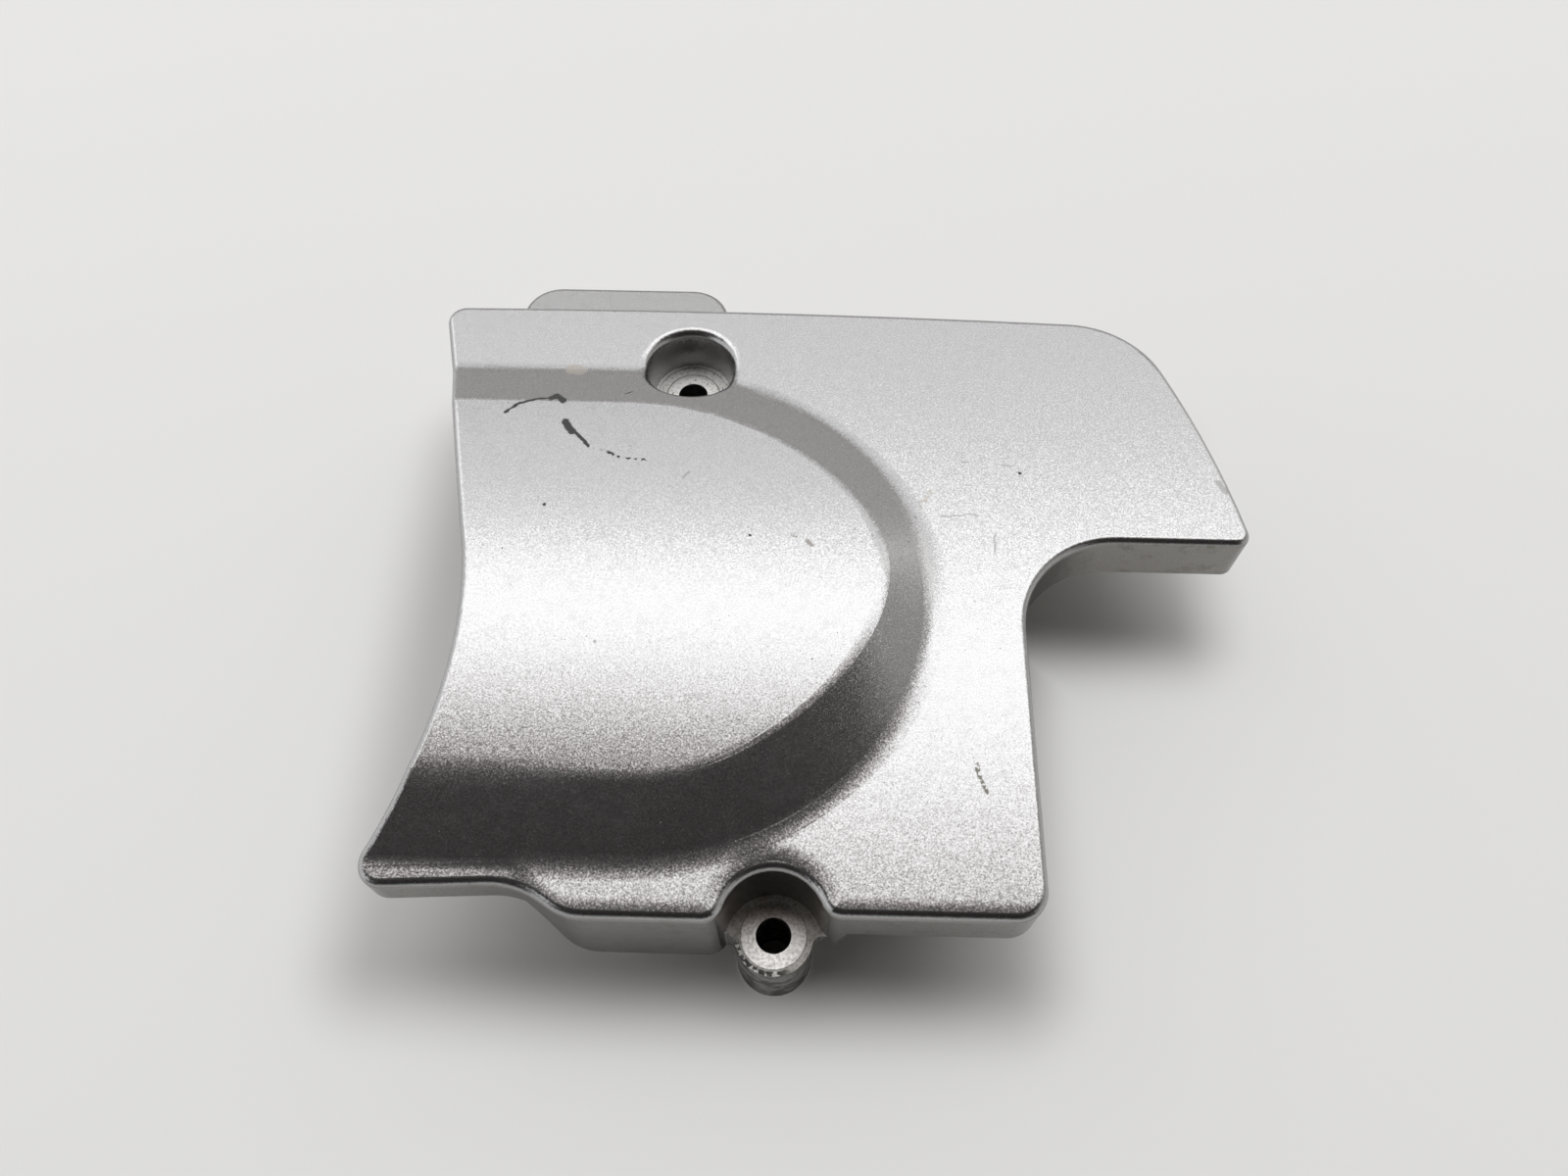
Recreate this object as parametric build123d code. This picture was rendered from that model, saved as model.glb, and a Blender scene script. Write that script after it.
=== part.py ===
from build123d import *
from math import atan2, cos, degrees, radians, sin, sqrt, tan
import os

# Cast cover over a motorcycle's front sprocket. Millimetres.
# Origin: axis of the lower bolt at the mounting plane. +Z leaves the outer face, +Y is up on the machine,
# +X points along the arm, towards the rear wheel.

# Heights above the mounting plane
FACE_Z = 36.0            # flat outer face
LOWER_SEAT_Z = 19.0      # lower bolt's seat
UPPER_SEAT_Z = 26.0      # upper bolt's seat
RIM_Z = 24.0             # lower edge of the wall round the arm, the right side and the top
LEFT_RIM_Z = 28.5        # lower edge of the wall that faces the round cover on the left
SKIRT_Z = 10.0           # lower edge of the deep wall beside the lower bolt

# Casting
WALL = 2.8               # outer wall and skin
EDGE_R = 1.5             # rounding of the face's outer edge
RIB_T = 2.5              # thin ribs inside

# Outline of the face, seen from outside
TOP_Y = 136.6            # middle of the slightly bowed top edge
TOP_DROP = (0.3, 2.2)    # how far its left and right ends lie below that
TOP_LEFT_R = 4.0
TOP_RIGHT_X = 76.9       # where the top edge and the sloping arm end would meet
TOP_RIGHT_R = 22.0
ARM_TIP_X = 95.4         # lower outer corner of the arm
ARM_TIP_R = 3.0
ARM_END_BOW = 2.2        # bow of the sloping arm end
ARM_LOW_Y = 76.2         # underside of the arm
RIGHT_X = 47.7           # right wall below the arm
NOTCH_R = 20.0           # inner corner between arm and right wall
BOTTOM_RIGHT_Y = -0.5
BOTTOM_RIGHT_R = 6.0
BOTTOM_MID_Y = -1.8
BOTTOM_LEFT_Y = 2.2      # lower left edge at its outer end
BOTTOM_LEFT_RISE = 3.0   # degrees that edge climbs towards the bolt
BOTTOM_LEFT_R = 4.5
SWEEP_X = (-45.0, -36.1) # ends of the slanting step between the two levels of the bottom edge
SWEEP_R = (16.0, 12.0)

# Left side: an arc concentric with the round cover beside it, then a line tangent to it
SIDE_ARC_R = 87.3
SIDE_ARC_X = -61.7       # the arc's point nearest to the bolts
SIDE_ARC_Y = 51.3
SIDE_LEAN = 13.2         # degrees between the line and the vertical

# Open recess for the lower bolt
BOLT_HOLE_R = 3.3        # clearance hole for an M6 bolt
SCALLOP_R = 9.0
SCALLOP_Y = -1.5
SCALLOP_CORNER_R = 4.0
SEAT_EDGE_Y = 0.1        # front edge of the seat on both sides of the boss
LOWER_BOSS_R = 7.3
LOWER_BOSS_BLEND_R = 1.8 # between boss and seat edge
SEAT_PLATE_T = 3.0

# Stepped lower edge of the front wall, from left to right
STEP_X = (-39.6, -44.1)  # foot and head of the steep step beside the deep wall
STEP_R = 2.5
DIP_X = (11.0, 13.5)     # foot and head of the short step right of the lower boss
FRONT_DEPTH = 10.0       # how far behind the wall's face that profile reaches
LEFT_ZONE = 12.0         # width of the strip along the left side that keeps the left rim's height

# Counterbore for the upper bolt
UPPER_BOLT_X = -22.0
UPPER_BOLT_DROP = 17.0   # below the top edge
COUNTERBORE_R = 8.7      # at the seat
COUNTERBORE_DRAFT = 6.0  # degrees
COUNTERBORE_LIP_R = 2.0
SPOT_FACE_R = 8.0
SPOT_FACE_DEPTH = 0.3
UPPER_BOSS_R = 7.5

# Raised panel over the sprocket: a D, open to the left, with a wide slope round it
PANEL_FOOT_TOP = 18.6    # from the top edge down to the slope's foot
PANEL_FOOT_BOTTOM = 7.0
PANEL_FOOT_RIGHT = 17.7  # from the right wall in to the slope's foot
PANEL_FOOT_SPAN = (63.0, 58.0)   # length of the upper and lower quarter ellipses
PANEL_RING_H = 8.0       # height over the face at which the slope's upper guide lies
PANEL_RING_IN = (23.4, 30.5, 13.0)  # guide's distance inside the foot: top, bottom, right
PANEL_RING_SPAN = (50.2, 40.0)
CROWN_Z = 6.4            # highest line of the panel over the face
CROWN_Y = 64.0
CROWN_R = 370.0
FOOT_BLEND_R = 10.0
PANEL_EDGE_R = 5.0

# Flange that stands out behind the top edge
TAB_X = (-64.0, -15.2)
TAB_REACH = 14.6         # beyond the top edge
TAB_T = 3.0
TAB_CORNER_R = 8.7
TAB_EDGE_R = 1.2

# Chain guard inside: a horseshoe rib round the sprocket, open to the right
SPROCKET_X = -20.0
SPROCKET_Y = 64.0
GUARD_R = 38.5
GUARD_END = (60.0, 43.0) # right ends of the upper and lower legs

# Stiffening inside
GUSSET_T = 4.0           # thick ribs at the two bosses
GUSSET_LOW_Z = 12.0
RIB_DEPTH = 4.2          # how far the shallow ribs stand below the skin
RIB_ROW_Y = 14.0         # shallow rib above the bottom edge

FAR = 400.0              # larger than the part
TOP_Z = FACE_Z + 2 * CROWN_Z
PAST = 1.0               # how far a cutter passes the surface it opens
SNAP = 0.01              # tolerance for picking faces and edges by place


def side_centre():
    """Centre of the left side's arc."""
    return Vector(SIDE_ARC_X - SIDE_ARC_R, SIDE_ARC_Y)


def cover_outline(scallop=False, inset=0.0):
    """Outline of the face, with or without the recess for the lower bolt, or the same line further in."""
    centre = side_centre()
    lean = radians(SIDE_LEAN)
    tangent = centre + SIDE_ARC_R * Vector(cos(lean), sin(lean))
    left_end_y = TOP_Y - TOP_DROP[0]
    top_left = Vector(tangent.X - (left_end_y - tangent.Y) * tan(lean), left_end_y)
    top_right = Vector(TOP_RIGHT_X, TOP_Y - TOP_DROP[1])
    top_mid = Vector((top_left.X + top_right.X) / 2, TOP_Y)
    tip = Vector(ARM_TIP_X, ARM_LOW_Y)
    end_chord = tip - top_right
    end_mid = (tip + top_right) / 2 + ARM_END_BOW * Vector(-end_chord.Y, end_chord.X).normalized()
    notch = Vector(RIGHT_X, ARM_LOW_Y)
    low_right = Vector(RIGHT_X, BOTTOM_RIGHT_Y)
    step_top = Vector(0, BOTTOM_RIGHT_Y)
    step_low = Vector(0, BOTTOM_MID_Y)
    sweep_low = Vector(SWEEP_X[1], BOTTOM_MID_Y)
    corner_y = BOTTOM_LEFT_Y
    low_left = Vector(centre.X + sqrt(SIDE_ARC_R**2 - (centre.Y - corner_y) ** 2), corner_y)
    sweep_high = Vector(SWEEP_X[0], corner_y + (SWEEP_X[0] - low_left.X) * tan(radians(BOTTOM_LEFT_RISE)))
    side_mid = Vector(SIDE_ARC_X, SIDE_ARC_Y)

    with BuildSketch() as sketch:
        with BuildLine():
            ThreePointArc(top_left, top_mid, top_right)
            ThreePointArc(top_right, end_mid, tip)
            Polyline(tip, notch, low_right, step_top, step_low, sweep_low, sweep_high, low_left)
            ThreePointArc(low_left, side_mid, tangent)
            Line(tangent, top_left)
        make_face()
        if inset:
            offset(amount=-inset, kind=Kind.INTERSECTION, mode=Mode.REPLACE)
        corners = [
            (top_left, TOP_LEFT_R - inset),
            (top_right, TOP_RIGHT_R - inset),
            (tip, ARM_TIP_R - inset),
            (notch, NOTCH_R + inset),
            (low_right, BOTTOM_RIGHT_R - inset),
            (sweep_low, SWEEP_R[1] - inset),
            (sweep_high, SWEEP_R[0] + inset),
            (low_left, BOTTOM_LEFT_R - inset),
        ]
        for point, radius in corners:
            if radius > SNAP:
                fillet(sketch.vertices().sort_by_distance(point)[0], radius)
        if scallop:
            with Locations((0, SCALLOP_Y)):
                Circle(SCALLOP_R, mode=Mode.SUBTRACT)
            reach_right = sqrt(SCALLOP_R**2 - (BOTTOM_RIGHT_Y - SCALLOP_Y) ** 2)
            reach_left = sqrt(SCALLOP_R**2 - (BOTTOM_MID_Y - SCALLOP_Y) ** 2)
            for point in (Vector(reach_right, BOTTOM_RIGHT_Y), Vector(-reach_left, BOTTOM_MID_Y)):
                fillet(sketch.vertices().sort_by_distance(point)[0], SCALLOP_CORNER_R)
    return sketch.sketch


def panel_section(top_y, bottom_y, right_x, spans, z):
    """One D-shaped guide of the panel's slope: two quarter ellipses and straight runs to the left."""
    upper, lower = spans
    mid_y = (top_y + bottom_y) / 2
    half = (top_y - bottom_y) / 2
    left_x = -FAR / 2
    with BuildSketch(Plane.XY.offset(z)) as sketch:
        with BuildLine():
            Line((left_x, bottom_y), (left_x, top_y))
            Line((left_x, top_y), (right_x - upper, top_y))
            EllipticalCenterArc((right_x - upper, mid_y), upper, half, start_angle=0, arc_size=90)
            EllipticalCenterArc((right_x - lower, mid_y), lower, half, start_angle=270, arc_size=90)
            Line((right_x - lower, bottom_y), (left_x, bottom_y))
        make_face()
    return sketch.sketch.faces()[0]


def skin_solid():
    """Everything under the cover's outer surface, before its outline is cut."""
    foot_top = TOP_Y - PANEL_FOOT_TOP
    foot_right = RIGHT_X - PANEL_FOOT_RIGHT
    in_top, in_bottom, in_right = PANEL_RING_IN
    foot = panel_section(foot_top, PANEL_FOOT_BOTTOM, foot_right, PANEL_FOOT_SPAN, FACE_Z)
    ring = panel_section(
        foot_top - in_top,
        PANEL_FOOT_BOTTOM + in_bottom,
        foot_right - in_right,
        PANEL_RING_SPAN,
        FACE_Z + PANEL_RING_H,
    )
    slope = loft([foot, ring], ruled=True)
    crown_axis_z = FACE_Z + CROWN_Z - CROWN_R
    crown = Pos(0, CROWN_Y, crown_axis_z) * Rot(0, 90, 0) * Cylinder(CROWN_R, FAR)
    slab = Box(FAR, FAR, FACE_Z, align=(Align.CENTER, Align.CENTER, Align.MIN))
    panel = slope & crown
    solid = slab + panel
    foot_edges = solid.edges().filter_by_position(Axis.Z, FACE_Z, FACE_Z)
    foot_edges = foot_edges.filter_by(lambda e: e.center().X < RIGHT_X and 0 < e.center().Y < TOP_Y)
    foot_edges = foot_edges.filter_by(lambda e: e.center().X > -FAR / 2 + PAST)
    solid = solid.fillet(FOOT_BLEND_R, foot_edges)
    crown_face = solid.faces().filter_by(GeomType.CYLINDER).sort_by(SortBy.AREA)[-1]
    crown_edges = crown_face.edges().filter_by(lambda e: e.center().X > -FAR / 2 + PAST)
    return solid.fillet(PANEL_EDGE_R, crown_edges)


def upright(face, low, high):
    """Prism over a face drawn on the XY plane."""
    return Pos(0, 0, low) * extrude(face, high - low)


def post(x, y, radius, low, high):
    """Round post or hole, parallel to Z."""
    return Pos(x, y, low) * Cylinder(radius, high - low, align=(Align.CENTER, Align.CENTER, Align.MIN))


def recess_radius(z):
    """Radius of the counterbore's drafted wall at a height."""
    return COUNTERBORE_R + (z - UPPER_SEAT_Z - SPOT_FACE_DEPTH) * tan(radians(COUNTERBORE_DRAFT))


def bar(start, end, thickness, low, high):
    """Straight upright rib between two points."""
    run = Vector(*end) - Vector(*start)
    turn = Rot(0, 0, degrees(atan2(run.Y, run.X)))
    block = Box(run.length, thickness, high - low, align=(Align.MIN, Align.CENTER, Align.MIN))
    return Pos(start[0], start[1], low) * turn * block


def boss_outline():
    """Outline below the lower seat: the boss stands out of the recess, which is closed at the seat's edge."""
    half_width = sqrt(LOWER_BOSS_R**2 - SEAT_EDGE_Y**2)
    with BuildSketch() as sketch:
        add(cover_outline(scallop=True))
        with Locations((0, SEAT_EDGE_Y)):
            Rectangle(2 * (SCALLOP_R + WALL), SCALLOP_R, align=(Align.CENTER, Align.MIN))
        Circle(LOWER_BOSS_R)
        for side in (-1, 1):
            corner = Vector(side * half_width, SEAT_EDGE_Y)
            fillet(sketch.vertices().sort_by_distance(corner)[0], LOWER_BOSS_BLEND_R)
    return sketch.sketch


def outer_solid(skin, bolt):
    """Outside of the casting with rounded edges and both recesses, solid down to the mounting plane."""
    above = skin & upright(cover_outline(scallop=True), LOWER_SEAT_Z, TOP_Z)
    wall_edges = above.faces().filter_by(lambda f: abs(f.normal_at().Z) < SNAP).edges()
    edges = above.edges().filter_by_position(Axis.Z, FACE_Z - SNAP, TOP_Z)
    edges = edges.filter_by(lambda e: any(e.is_same(w) for w in wall_edges))
    outer = above.fillet(EDGE_R, edges) + upright(boss_outline(), 0, LOWER_SEAT_Z)

    floor_z = UPPER_SEAT_Z + SPOT_FACE_DEPTH
    cone_h = TOP_Z - floor_z
    cone = Cone(COUNTERBORE_R, recess_radius(TOP_Z), cone_h, align=(Align.CENTER, Align.CENTER, Align.MIN))
    outer -= Pos(bolt.X, bolt.Y, floor_z) * cone
    lip = outer.faces().filter_by(GeomType.CONE).edges().filter_by(lambda e: e.center().Z > FACE_Z - PAST)
    outer = outer.fillet(COUNTERBORE_LIP_R, lip)
    return outer - post(bolt.X, bolt.Y, SPOT_FACE_R, UPPER_SEAT_Z, FACE_Z)


def below_rim():
    """Space under the stepped lower edge of the walls."""
    step_foot, step_head = STEP_X
    with BuildSketch(Plane.XZ.offset(-FRONT_DEPTH)) as front:
        with BuildLine():
            Polyline(
                (-FAR, -PAST),
                (FAR, -PAST),
                (FAR, RIM_Z),
                (DIP_X[1], RIM_Z),
                (DIP_X[0], LOWER_SEAT_Z - SEAT_PLATE_T),
                (0, LOWER_SEAT_Z - SEAT_PLATE_T),
                (0, SKIRT_Z),
                (step_foot, SKIRT_Z),
                (step_head, LEFT_RIM_Z),
                (-FAR, LEFT_RIM_Z),
                close=True,
            )
        make_face()
        corners = front.vertices()
        for x, z in ((step_foot, SKIRT_Z), (step_head, LEFT_RIM_Z), (DIP_X[1], RIM_Z)):
            corner = Vector(x, FRONT_DEPTH, z)
            fillet(corners.sort_by_distance(corner)[0], STEP_R)
    front_space = extrude(front.sketch, FAR)
    rear_space = Pos(0, FRONT_DEPTH, -PAST) * Box(
        2 * FAR, FAR, RIM_Z + PAST, align=(Align.CENTER, Align.MIN, Align.MIN)
    )
    left_zone = Pos(SIDE_ARC_X + LEFT_ZONE, FRONT_DEPTH, -PAST) * Box(
        FAR, TOP_Y - FRONT_DEPTH - LEFT_ZONE, LEFT_RIM_Z + PAST, align=(Align.MAX, Align.MIN, Align.MIN)
    )
    corner_zone = Pos(TAB_X[0], FRONT_DEPTH, -PAST) * Box(
        FAR, FAR, LEFT_RIM_Z + PAST, align=(Align.MAX, Align.MIN, Align.MIN)
    )
    return [front_space, rear_space, left_zone, corner_zone]


def guard_solid():
    """Horseshoe rib round the sprocket."""
    mid_r = GUARD_R + RIB_T / 2
    upper_end, lower_end = GUARD_END
    with BuildSketch() as sketch:
        with BuildLine():
            Line((upper_end, SPROCKET_Y + mid_r), (SPROCKET_X, SPROCKET_Y + mid_r))
            CenterArc((SPROCKET_X, SPROCKET_Y), mid_r, 90, 180)
            Line((SPROCKET_X, SPROCKET_Y - mid_r), (lower_end, SPROCKET_Y - mid_r))
        trace(line_width=RIB_T)
    return upright(sketch.sketch, 0, TOP_Z)


def inner_solids(bolt):
    """Everything that stands inside the shell, not yet trimmed to its outside."""
    guard_top = SPROCKET_Y + GUARD_R + RIB_T / 2
    guard_low = SPROCKET_Y - GUARD_R - RIB_T / 2
    tube_r = recess_radius(FACE_Z) + WALL
    seat_reach = SCALLOP_R + WALL
    seat_wall_y = SEAT_EDGE_Y + WALL / 2
    rib_low = FACE_Z - WALL - RIB_DEPTH
    return [
        post(0, SCALLOP_Y, SCALLOP_R + WALL, LOWER_SEAT_Z - SEAT_PLATE_T, TOP_Z),
        post(0, 0, LOWER_BOSS_R, 0, TOP_Z),
        bar((-seat_reach, seat_wall_y), (0, seat_wall_y), WALL, SKIRT_Z, TOP_Z),
        post(bolt.X, bolt.Y, tube_r, UPPER_SEAT_Z - SEAT_PLATE_T, TOP_Z),
        post(bolt.X, bolt.Y, UPPER_BOSS_R, 0, TOP_Z),
        guard_solid(),
        bar((bolt.X, guard_top), (bolt.X, TOP_Y - WALL), GUSSET_T, GUSSET_LOW_Z, TOP_Z),
        bar((0, 0), (0, guard_low), GUSSET_T, GUSSET_LOW_Z, TOP_Z),
        bar((bolt.X, bolt.Y), (TOP_RIGHT_X, bolt.Y), RIB_T, rib_low, TOP_Z),
        bar((GUARD_END[0], guard_top), (ARM_TIP_X - WALL, guard_top), RIB_T, rib_low, TOP_Z),
        bar((0, RIB_ROW_Y), (RIGHT_X - WALL, RIB_ROW_Y), RIB_T, rib_low, TOP_Z),
    ]


def tab_solid():
    """Flange behind the top edge, its outer edge rounded."""
    root_y = TOP_Y - WALL
    with BuildSketch() as sketch:
        with BuildLine():
            Polyline(
                (TAB_X[0], root_y),
                (TAB_X[1], root_y),
                (TAB_X[1], TOP_Y + TAB_REACH),
                (TAB_X[0], TOP_Y + TAB_REACH),
                close=True,
            )
        make_face()
        fillet(sketch.vertices().sort_by(Axis.Y)[-2:], TAB_CORNER_R)
    tab = upright(sketch.sketch, RIM_Z, RIM_Z + TAB_T)
    free = tab.faces().sort_by(Axis.Z)[-1].edges().filter_by(lambda e: e.center().Y > root_y + SNAP)
    return tab.fillet(TAB_EDGE_R, free)


def sprocket_cover():
    """The whole casting."""
    bolt = Vector(UPPER_BOLT_X, TOP_Y - UPPER_BOLT_DROP)
    skin = skin_solid()
    outer = outer_solid(skin, bolt)
    hollow = (Pos(0, 0, -WALL) * skin) & upright(cover_outline(inset=WALL), -WALL, TOP_Z)
    shell = outer - hollow
    for space in below_rim():
        shell -= space
    body = shell + [solid & outer for solid in inner_solids(bolt)] + tab_solid()
    body -= post(0, 0, BOLT_HOLE_R, -PAST, LOWER_SEAT_Z + PAST)
    body -= post(bolt.X, bolt.Y, BOLT_HOLE_R, -PAST, UPPER_SEAT_Z + PAST)
    return body


cover = sprocket_cover()
os.makedirs("parts", exist_ok=True)
export_step(cover, "parts/sprocket_cover.step")
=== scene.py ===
"""Looks of a die-cast sprocket cover: silver paint, bare bolt seats, grime and scuffs, on a pale bench."""

import logging
import math
from dataclasses import dataclass, field
from enum import Enum
from functools import reduce

import bpy
from mathutils import Matrix, Vector

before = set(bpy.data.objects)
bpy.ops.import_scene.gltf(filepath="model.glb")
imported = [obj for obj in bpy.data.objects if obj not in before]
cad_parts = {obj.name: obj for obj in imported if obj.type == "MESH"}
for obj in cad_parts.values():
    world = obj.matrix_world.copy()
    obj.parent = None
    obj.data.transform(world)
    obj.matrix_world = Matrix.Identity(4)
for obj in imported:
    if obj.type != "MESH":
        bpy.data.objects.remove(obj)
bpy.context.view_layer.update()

log = logging.getLogger("sprocket_cover")

MM = 0.001
CASTING = "sprocket_cover"
Colour = tuple[float, float, float]
Place = tuple[float, float, float]
Spot = tuple[float, float]
Ramp = tuple[float, float]


class Sock:
    """An output socket on which Python arithmetic adds Math nodes."""

    def __init__(self, shop: "Shop", socket: bpy.types.NodeSocket) -> None:
        """Wraps a socket.

        Args:
            shop: the material that holds the socket.
            socket: the output socket.
        """
        self.shop = shop
        self.socket = socket

    def _math(self, operation: str, *values: "Sock | float", clamp: bool = False) -> "Sock":
        """Adds one Math node.

        Args:
            operation: the node's operation.
            values: its inputs in order.
            clamp: whether the result is kept within 0 and 1.

        Returns:
            The node's result.
        """
        settings = {"operation": operation, "use_clamp": clamp}
        return self.shop.node("ShaderNodeMath", settings, dict(enumerate(values)))

    def __add__(self, other: "Sock | float") -> "Sock":
        """Sum."""
        return self._math("ADD", self, other)

    __radd__ = __add__

    def __sub__(self, other: "Sock | float") -> "Sock":
        """Difference."""
        return self._math("SUBTRACT", self, other)

    def __rsub__(self, other: "Sock | float") -> "Sock":
        """Difference, reflected."""
        return self._math("SUBTRACT", other, self)

    def __mul__(self, other: "Sock | float") -> "Sock":
        """Product."""
        return self._math("MULTIPLY", self, other)

    __rmul__ = __mul__

    def __abs__(self) -> "Sock":
        """Size without sign."""
        return self._math("ABSOLUTE", self)

    def either(self, other: "Sock | float") -> "Sock":
        """The larger of two masks."""
        return self._math("MAXIMUM", self, other)

    def both(self, other: "Sock | float") -> "Sock":
        """The smaller of two masks."""
        return self._math("MINIMUM", self, other)

    def power(self, exponent: float) -> "Sock":
        """The value raised to a power."""
        return self._math("POWER", self, exponent)

    def clamped(self) -> "Sock":
        """The value kept within 0 and 1."""
        return self._math("ADD", self, 0.0, clamp=True)

    def ramp(self, start: float, end: float) -> "Sock":
        """Smooth step from 0 at start to 1 at end; start may be the larger.

        Args:
            start: value that gives 0.
            end: value that gives 1.

        Returns:
            A mask within 0 and 1.
        """
        rising = start < end
        inputs = {
            "Value": self,
            "From Min": min(start, end),
            "From Max": max(start, end),
            "To Min": 0.0 if rising else 1.0,
            "To Max": 1.0 if rising else 0.0,
        }
        return self.shop.node("ShaderNodeMapRange", {"interpolation_type": "SMOOTHSTEP"}, inputs)

    def near(self, value: float, half: float, soft: float) -> "Sock":
        """1 within half of a value, fading to 0 over the soft width beyond."""
        return abs(self - value).ramp(half + soft, half)


class Output(Enum):
    """The node in which a material or the world ends."""

    MATERIAL = "ShaderNodeOutputMaterial"
    WORLD = "ShaderNodeOutputWorld"


class Shop:
    """Builds the nodes of one material or of the world."""

    def __init__(self, owner: bpy.types.Material | bpy.types.World, output: Output) -> None:
        """Empties the owner's nodes and adds its output.

        Args:
            owner: the material or world to fill.
            output: which output node it ends in.
        """
        owner.use_nodes = True
        self.tree = owner.node_tree
        self.tree.nodes.clear()
        self.output = self.tree.nodes.new(output.value)

    def node(
        self,
        kind: str,
        settings: dict[str, object] | None = None,
        inputs: dict[str | int, object] | None = None,
        out: str | int = 0,
    ) -> Sock:
        """Adds any node.

        Args:
            kind: the node's type.
            settings: attributes, set before the inputs.
            inputs: values or links by socket name or index.
            out: the output socket to return.

        Returns:
            The chosen output.
        """
        made = self.tree.nodes.new(kind)
        for name, value in (settings or {}).items():
            setattr(made, name, value)
        for name, value in (inputs or {}).items():
            if isinstance(value, Sock):
                self.tree.links.new(value.socket, made.inputs[name])
            else:
                made.inputs[name].default_value = value
        return Sock(self, made.outputs[out])

    def vector(self, operation: str, *values: object, out: str = "Vector") -> Sock:
        """Adds one Vector Math node.

        Args:
            operation: the node's operation.
            values: its vectors in order.
            out: "Vector", or "Value" for a distance or dot product.

        Returns:
            The node's result.
        """
        return self.node("ShaderNodeVectorMath", {"operation": operation}, dict(enumerate(values)), out)

    def scaled(self, vector: object, scale: Sock | float) -> Sock:
        """A vector times a number."""
        return self.node("ShaderNodeVectorMath", {"operation": "SCALE"}, {0: vector, "Scale": scale})

    def split(self, vector: Sock) -> tuple[Sock, Sock, Sock]:
        """The three parts of a vector."""
        first = self.node("ShaderNodeSeparateXYZ", inputs={"Vector": vector})
        outputs = first.socket.node.outputs
        return tuple(Sock(self, outputs[k]) for k in range(3))

    def noise(
        self, vector: Sock, grain: float, detail: float = 2.0, rough: float = 0.5, out: str = "Fac"
    ) -> Sock:
        """Smooth noise whose lumps are about as large as the grain.

        Args:
            vector: coordinates in millimetres.
            grain: size of a lump in millimetres.
            detail: number of finer octaves.
            rough: weight of the finer octaves.
            out: "Fac" for one value, "Color" for three.

        Returns:
            Values around one half.
        """
        inputs = {"Vector": vector, "Scale": 1 / grain, "Detail": detail, "Roughness": rough}
        return self.node("ShaderNodeTexNoise", inputs=inputs, out=out)

    def blend(self, mask: Sock | float, first: object, second: object, way: str = "MIX") -> Sock:
        """Colour mix: first where the mask is 0, second, or the product, where it is 1.

        Args:
            mask: the share of the second.
            first: colour under.
            second: colour over.
            way: "MIX" or "MULTIPLY".

        Returns:
            The mixed colour.
        """
        settings = {"data_type": "RGBA", "clamp_factor": True, "blend_type": way}
        inputs = {0: mask, 6: self._rgba(first), 7: self._rgba(second)}
        return self.node("ShaderNodeMix", settings, inputs, out=2)

    def between(self, mask: Sock | float, first: Sock | float, second: Sock | float) -> Sock:
        """Number mix: first where the mask is 0, second where it is 1."""
        return self.node("ShaderNodeMix", {"data_type": "FLOAT"}, {0: mask, 2: first, 3: second})

    @staticmethod
    def _rgba(value: object) -> object:
        """A colour with its fourth number, or a socket unchanged."""
        return value if isinstance(value, Sock) else (*value, 1.0)

    def finish(self, shader: Sock) -> None:
        """Links the shader to the output."""
        self.tree.links.new(shader.socket, self.output.inputs["Surface"])


class Ground:
    """Coordinates on the casting in millimetres, with distances and masks measured on them."""

    def __init__(self, shop: Shop) -> None:
        """Reads the object's own coordinates and normal.

        Args:
            shop: the material.
        """
        self.shop = shop
        self.place = shop.scaled(shop.node("ShaderNodeTexCoord", out="Object"), 1 / MM)
        self.x, self.y, self.z = shop.split(self.place)
        self.flat = shop.vector("MULTIPLY", self.place, (1.0, 1.0, 0.0))
        self.up = shop.split(shop.node("ShaderNodeTexCoord", out="Normal"))[2]

    def stirred(self, grain: float, reach: float) -> Sock:
        """Flat coordinates pushed about by noise, so that what is drawn on them has ragged edges.

        Args:
            grain: size of the ripples in millimetres.
            reach: largest push in millimetres.

        Returns:
            The ragged coordinates.
        """
        push = self.shop.noise(self.place, grain, out="Color")
        moved = self.shop.vector("MULTIPLY_ADD", push, (reach, reach, 0.0), self.flat)
        return self.shop.vector("SUBTRACT", moved, (reach / 2, reach / 2, 0.0))

    def away(self, spot: Spot, flat: Sock | None = None) -> Sock:
        """Distance from an upright axis, on the plain or on ragged coordinates."""
        return self.shop.vector("DISTANCE", flat or self.flat, (*spot, 0.0), out="Value")

    def off_line(self, flat: Sock, start: Spot, end: Spot) -> Sock:
        """Distance from a straight segment: that from its nearest point, found by a clamped share along it.

        Args:
            flat: the coordinates to measure on.
            start: one end.
            end: the other end.

        Returns:
            The distance in millimetres.
        """
        run_x = end[0] - start[0]
        run_y = end[1] - start[1]
        square = run_x**2 + run_y**2
        across = self.shop.vector("SUBTRACT", flat, (*start, 0.0))
        along = (run_x / square, run_y / square, 0.0)
        share = self.shop.vector("DOT_PRODUCT", across, along, out="Value").clamped()
        nearest = self.shop.scaled((run_x, run_y, 0.0), share)
        return self.shop.vector("DISTANCE", across, nearest, out="Value")


@dataclass(frozen=True)
class Coat:
    """One surface finish: colour, roughness and how metallic it is."""

    colour: Colour
    roughness: float
    metallic: float


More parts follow.
